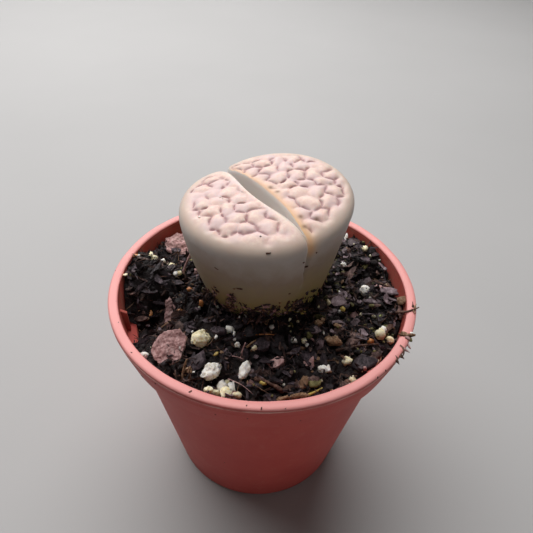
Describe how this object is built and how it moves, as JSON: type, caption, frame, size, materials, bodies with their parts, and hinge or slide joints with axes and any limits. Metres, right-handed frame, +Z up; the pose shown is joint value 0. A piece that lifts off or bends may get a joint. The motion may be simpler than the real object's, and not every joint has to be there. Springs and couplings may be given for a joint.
{
  "type": "potted lithops",
  "caption": "Living stone succulent with a cleft, patterned top, growing in dark peat with bark chips and perlite in a small terracotta-coloured plastic pot.",
  "frame": {"origin": "centre of the pot's underside, on the surface that the pot stands on", "axes": "+Z up along the pot's axis; -Y towards the picture's camera; +X to its right"},
  "size_m": [0.055, 0.055, 0.062],
  "materials": {
    "pot_plastic": "satin moulded polypropylene",
    "soil": "rough, moist peat",
    "plant_skin": "waxy, matte",
    "bark": "rough",
    "bark_pink": "rough",
    "bark_dark": "rough",
    "bark_tan": "rough",
    "perlite": "rough, porous",
    "pumice": "rough, porous",
    "twig": "rough",
    "granule": "smooth"
  },
  "bodies": {
    "root": {"pot": "pot_plastic", "soil": "soil", "lithops_body": "plant_skin", "bark_chip_big_left": "bark_pink", "bark_chip_back_left": "bark_pink", "bark_chip_by_pebble": "bark_dark", "bark_chip_heart": "bark_dark", "bark_chip_front": "bark_pink", "bark_chip_near_plant": "bark_tan", "bark_chip_orange": "bark_tan", "bark_chip_right_inner": "bark", "bark_chip_right_outer": "bark", "bark_chip_front_long": "bark", "bark_chip_right": "bark_pink", "bark_chip_right_small": "bark", "bark_chip_standing": "bark_tan", "bark_stick_standing": "bark_pink", "bark_chip_back": "bark", "bark_chip_back_right": "bark_dark", "pumice_by_chip": "pumice", "perlite_front_left": "perlite", "perlite_oval": "perlite", "perlite_rim_big": "pumice", "perlite_rim_small": "pumice", "perlite_front_right": "perlite", "pumice_right_a": "pumice", "pumice_right_b": "pumice", "perlite_right": "perlite", "perlite_back_right": "perlite", "perlite_side_right": "perlite", "perlite_centre": "perlite", "perlite_centre_left": "perlite", "perlite_left_wall": "perlite", "pumice_back_left_a": "pumice", "pumice_back_left_b": "pumice", "pumice_back_left_c": "pumice", "granule_green": "granule", "granule_yellow": "granule", "granule_orange": "granule", "twig_by_plant": "twig", "twig_front_left": "twig", "twig_front": "bark_tan", "twig_right": "twig", "twig_back": "twig"}
  },
  "joints": []
}
